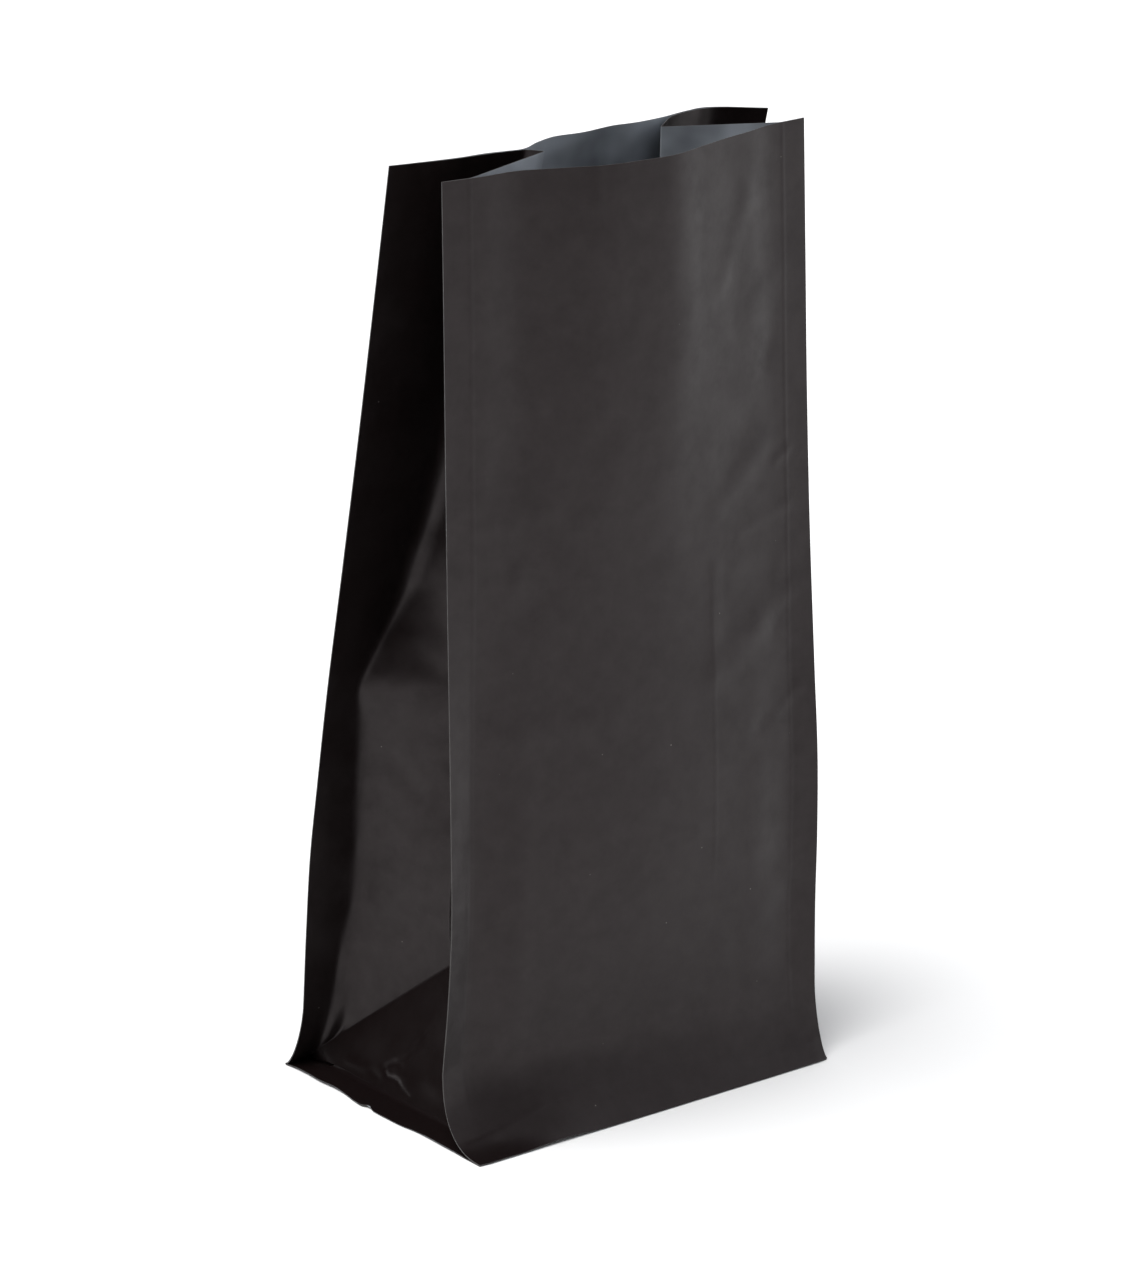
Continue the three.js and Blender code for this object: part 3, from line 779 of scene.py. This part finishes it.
def black_film():
    """The outer skin: matt, with an uneven sheen and a few pale specks of dust."""
    material, shader, tree = new_material("matt_black_film", BLACK, 0.4)
    nodes, links = tree.nodes, tree.links
    shader.inputs["IOR"].default_value = 1.4
    shader.inputs["Specular Tint"].default_value = (1.0, 0.9, 0.91, 1)
    mottle = ranged(tree, noise(tree, 80, 8, 0.68), 0.35, 0.65, 0.3, 0.46)
    links.new(mottle, shader.inputs["Roughness"])
    sheen = ranged(tree, noise(tree, 170, 8, 0.7), 0.3, 0.7, 0.45, 0.55)
    links.new(sheen, shader.inputs["Specular IOR Level"])
    bump(tree, shader, noise(tree, 1800, 3), 0.35, 0.00002)
    dust = nodes.new("ShaderNodeTexVoronoi")
    dust.inputs["Scale"].default_value = 233
    links.new(nodes["Place"].outputs["Object"], dust.inputs["Vector"])
    speck = ranged(tree, dust.outputs["Distance"], 0.03, 0.07, 1, 0)
    chosen = nodes.new("ShaderNodeSeparateColor")
    links.new(dust.outputs["Color"], chosen.inputs["Color"])
    rare = ranged(tree, chosen.outputs["Red"], 0.95, 0.97, 0, 1)
    both = nodes.new("ShaderNodeMath")
    both.operation = "MULTIPLY"
    links.new(speck, both.inputs[0])
    links.new(rare, both.inputs[1])
    tones(tree, shader, both.outputs["Value"], BLACK, DUST)
    return material


def silver_film():
    """The inner skin: dull metal with soft clouds and shallow waves."""
    material, shader, tree = new_material("metallised_inside", SILVER, 0.4, 0.5)
    tree.links.new(ranged(tree, noise(tree, 40, 4), 0.3, 0.7, 0.32, 0.48), shader.inputs["Roughness"])
    bump(tree, shader, noise(tree, 55, 4), 0.5, 0.001)
    tones(tree, shader, ranged(tree, noise(tree, 26, 3, 0.6), 0.36, 0.64, 0, 1), *SILVER_CLOUDS)
    return material


def edge_film():
    """The cut edge of the laminate, a little paler than its black skin."""
    material, shader, tree = new_material("cut_edge", EDGE, 0.6)
    tree.links.new(ranged(tree, noise(tree, 400, 3), 0.3, 0.7, 0.45, 0.75), shader.inputs["Roughness"])
    return material


outer_film = black_film()
inner_film = silver_film()
cut_edge = edge_film()


# ---- The five webs -------------------------------------------------------------------------
def panel_piece(panel):
    """A front or back panel; columns are close where the seals and the imprint lie."""
    sheet = Sheet()
    columns = spaced(
        -SIDE, (-63, 1.0), (-58, 0.4), (25, 1.3), (29, 0.5), (58, 1.1), (63, 0.4), (SIDE, 1.0)
    )
    rows = spaced(0, (30, 0.75), (LENGTH, 1.5))
    sheet.patch(columns, rows, lambda x, up: panel_point(panel, x, up))
    return film_piece(panel + "_panel", sheet, -OUTWARDS[panel])


EDGE_TOLERANCE = 1e-6
TIP_COLUMNS = 14
FIN_ROWS = 5
WALL_ROWS, WALL_CROWD = 52, 1.2  # rows of the lower wall, and how they crowd towards the fold
PLEAT_ROWS, PLEAT_CROWD = 44, 1.3


def gusset_piece(name, side):
    """A gusset: its wall, the seal ends below the fold, the pleat and the floor fin."""
    sheet = Sheet()
    columns = spaced(
        -PLEAT, (-GUSSET_HALF, 2.25), (-8, 1.1), (0, 0.7), (16, 0.6), (GUSSET_HALF, 1.1), (PLEAT, 2.25)
    )

    def lower_wall(across, share):
        return wall_point(side, across, lerp(fold_film(across), FOLD_REACH, share))

    sheet.patch(columns, np.linspace(0, 1, WALL_ROWS) ** WALL_CROWD, lower_wall)
    rows = spaced(FOLD_REACH, (RIDGE - 10, 2.5), (RIDGE + 50, 1.25), (LENGTH, 2.5))
    sheet.patch(columns, rows, lambda across, up: wall_point(side, across, up))
    for half, fold_end in FOLD_END.items():
        seal = sorted(columns[columns >= GUSSET_HALF - EDGE_TOLERANCE] * half)
        seal_rows = np.linspace(0, fold_end, TIP_COLUMNS)
        sheet.patch(seal, seal_rows, lambda across, up: natural_point(side, across, up))
    inner = columns[np.abs(columns) <= GUSSET_HALF + EDGE_TOLERANCE]
    tips = np.linspace(GUSSET_HALF, PLEAT, TIP_COLUMNS)[1:]
    along = np.concatenate([-tips[::-1], inner, tips])
    shares = np.linspace(0, 1, PLEAT_ROWS) ** PLEAT_CROWD
    sheet.patch(along, shares, lambda place, share: pleat_point(side, place, share))
    places = along / PLEAT * FIN_DEPTH
    sheet.patch(places, np.linspace(0, 1, FIN_ROWS), lambda place, share: fin_point(side, place, share))
    return film_piece(name, sheet, side)


def dome_wave(value, width):
    """1 in the middle and 0 at half the width to each side."""
    return np.cos(np.clip(value / width, -0.5, 0.5) * math.pi) ** 2


BASE_DOME = (1.5, 122.0, 84.0)  # lift in the middle of the base, and its extent in X and Y
BASE_FLAT = 12.0  # over this width beside a seal the base rises to it
BASE_END = 50.8  # half of the base's depth
BASE_ARCH_FADE = (-51, -44)  # places between which the front edge's arch fades


def base_point(x, y):
    """A place on the base, which is sealed to the floor fins at its sides."""
    side = np.sign(x)
    share = np.clip((SIDE - np.abs(x)) / SEAL, 0, 1)
    left, right = fins[-1], fins[1]
    height = lerp(np.where(side < 0, left[0](y), right[0](y)), FIN_RISE(y), share)
    height = height * smoothstep(np.abs(x), INNER - BASE_FLAT, INNER)
    edge = np.where(side < 0, left[1](y), right[1](y))
    in_fin = INNER + (np.abs(x) - INNER) / SEAL * (edge - INNER)
    place = np.where(np.abs(x) > INNER, in_fin, np.abs(x)) * side
    lift, dome_x, dome_y = BASE_DOME
    dome = lift * dome_wave(x, dome_x) * dome_wave(y, dome_y)
    arch = foot_arch(x) * (1 - smoothstep(y, *BASE_ARCH_FADE))
    return np.stack([place, y, FILM / 2 + np.maximum(height, 0) + dome + arch], -1)


def base_piece():
    """The flat web under the bag."""
    sheet = Sheet()
    columns = spaced(-SIDE, (-INNER, 1.5), (INNER, 3.0), (SIDE, 1.5))
    rows = spaced(-BASE_END, (BASE_END, 2.0))
    sheet.patch(columns, rows, base_point)
    return film_piece("bottom_panel", sheet, -1)


panel_piece("front")
panel_piece("back")
gusset_piece("gusset_left", -1)
gusset_piece("gusset_right", 1)
base_piece()


# ---- Floor, light and camera ---------------------------------------------------------------
FLOOR_HALF = 6.0  # metres
FLOOR_TONE = 0.8


def floor():
    """A plain pale sheet, the same tone all over."""
    outline = [(FLOOR_HALF * x, FLOOR_HALF * y, 0) for x, y in ((-1, -1), (1, -1), (1, 1), (-1, 1))]
    mesh = bpy.data.meshes.new("floor")
    mesh.from_pydata(outline, [], [(0, 1, 2, 3)])
    piece = bpy.data.objects.new("floor", mesh)
    bpy.context.scene.collection.objects.link(piece)
    material, shader, tree = new_material("pale_floor", (FLOOR_TONE,) * 3, 0.9)
    tree.links.new(ranged(tree, noise(tree, 3), 0.3, 0.7, 0.85, 0.95), shader.inputs["Roughness"])
    mesh.materials.append(material)


WINDOW_SIDE = (0.88, -0.1, 0.0)  # the studio is bright on the bag's right and dark on its left
WINDOW_FROM_TO = (-0.5, 0.85)
WINDOW_STRENGTH = (0.02, 1.08)
SKY = (0.96, 0.97, 1.0)
SUN_ENERGY = 4.5
SUN_SPREAD = 58  # degrees: a large soft light
SUN_TRAVELS = (0.58, -0.03, -1)


def studio():
    """An uneven soft surround, and an overhead light that the film doesn't mirror."""
    world = bpy.data.worlds.new("studio")
    bpy.context.scene.world = world
    world.use_nodes = True
    tree = world.node_tree
    nodes, links = tree.nodes, tree.links
    place = nodes.new("ShaderNodeTexCoord")
    towards = nodes.new("ShaderNodeVectorMath")
    towards.operation = "DOT_PRODUCT"
    towards.inputs[1].default_value = WINDOW_SIDE
    links.new(place.outputs["Generated"], towards.inputs[0])
    background = nodes["Background"]
    strength = ranged(tree, towards.outputs["Value"], *WINDOW_FROM_TO, *WINDOW_STRENGTH)
    links.new(strength, background.inputs["Strength"])
    background.inputs["Color"].default_value = (*SKY, 1)
    light = bpy.data.lights.new("overhead", "SUN")
    light.energy = SUN_ENERGY
    light.angle = math.radians(SUN_SPREAD)
    overhead = bpy.data.objects.new("overhead", light)
    bpy.context.scene.collection.objects.link(overhead)
    overhead.rotation_mode = "QUATERNION"
    overhead.rotation_quaternion = Vector(SUN_TRAVELS).to_track_quat("-Z", "Y")
    overhead.visible_glossy = False
    bpy.context.scene.view_settings.view_transform = "Standard"


# The camera stands front left of the bag and looks down on it.
FRAME = (1140, 1280)
FOCAL = 5470.1  # pixels of that frame
YAW, PITCH, ROLL = 38.54, 18.17, 0.43
RANGE = 1702.4  # from the point that it looks at
AIM = (2.128, -2.514, 142.204)
SENSOR = 36


def camera():
    """The camera of the photograph, which the scene is seen from."""
    yaw, pitch, roll = (math.radians(angle) for angle in (YAW, PITCH, ROLL))
    back = Vector((-math.sin(yaw) * math.cos(pitch), -math.cos(yaw) * math.cos(pitch), math.sin(pitch)))
    right = Vector((math.cos(yaw), -math.sin(yaw), 0))
    up = back.cross(right)
    right_rolled = right * math.cos(roll) + up * math.sin(roll)
    up_rolled = up * math.cos(roll) - right * math.sin(roll)
    data = bpy.data.cameras.new("camera")
    data.sensor_fit = "AUTO"
    data.sensor_width = SENSOR
    data.lens = FOCAL * data.sensor_width / max(FRAME)
    lens = bpy.data.objects.new("camera", data)
    bpy.context.scene.collection.objects.link(lens)
    place = Vector(AIM) * MM + back * RANGE * MM
    turn = Matrix((right_rolled, up_rolled, back)).transposed()
    lens.matrix_world = Matrix.Translation(place) @ turn.to_4x4()
    bpy.context.scene.camera = lens


floor()
studio()
camera()
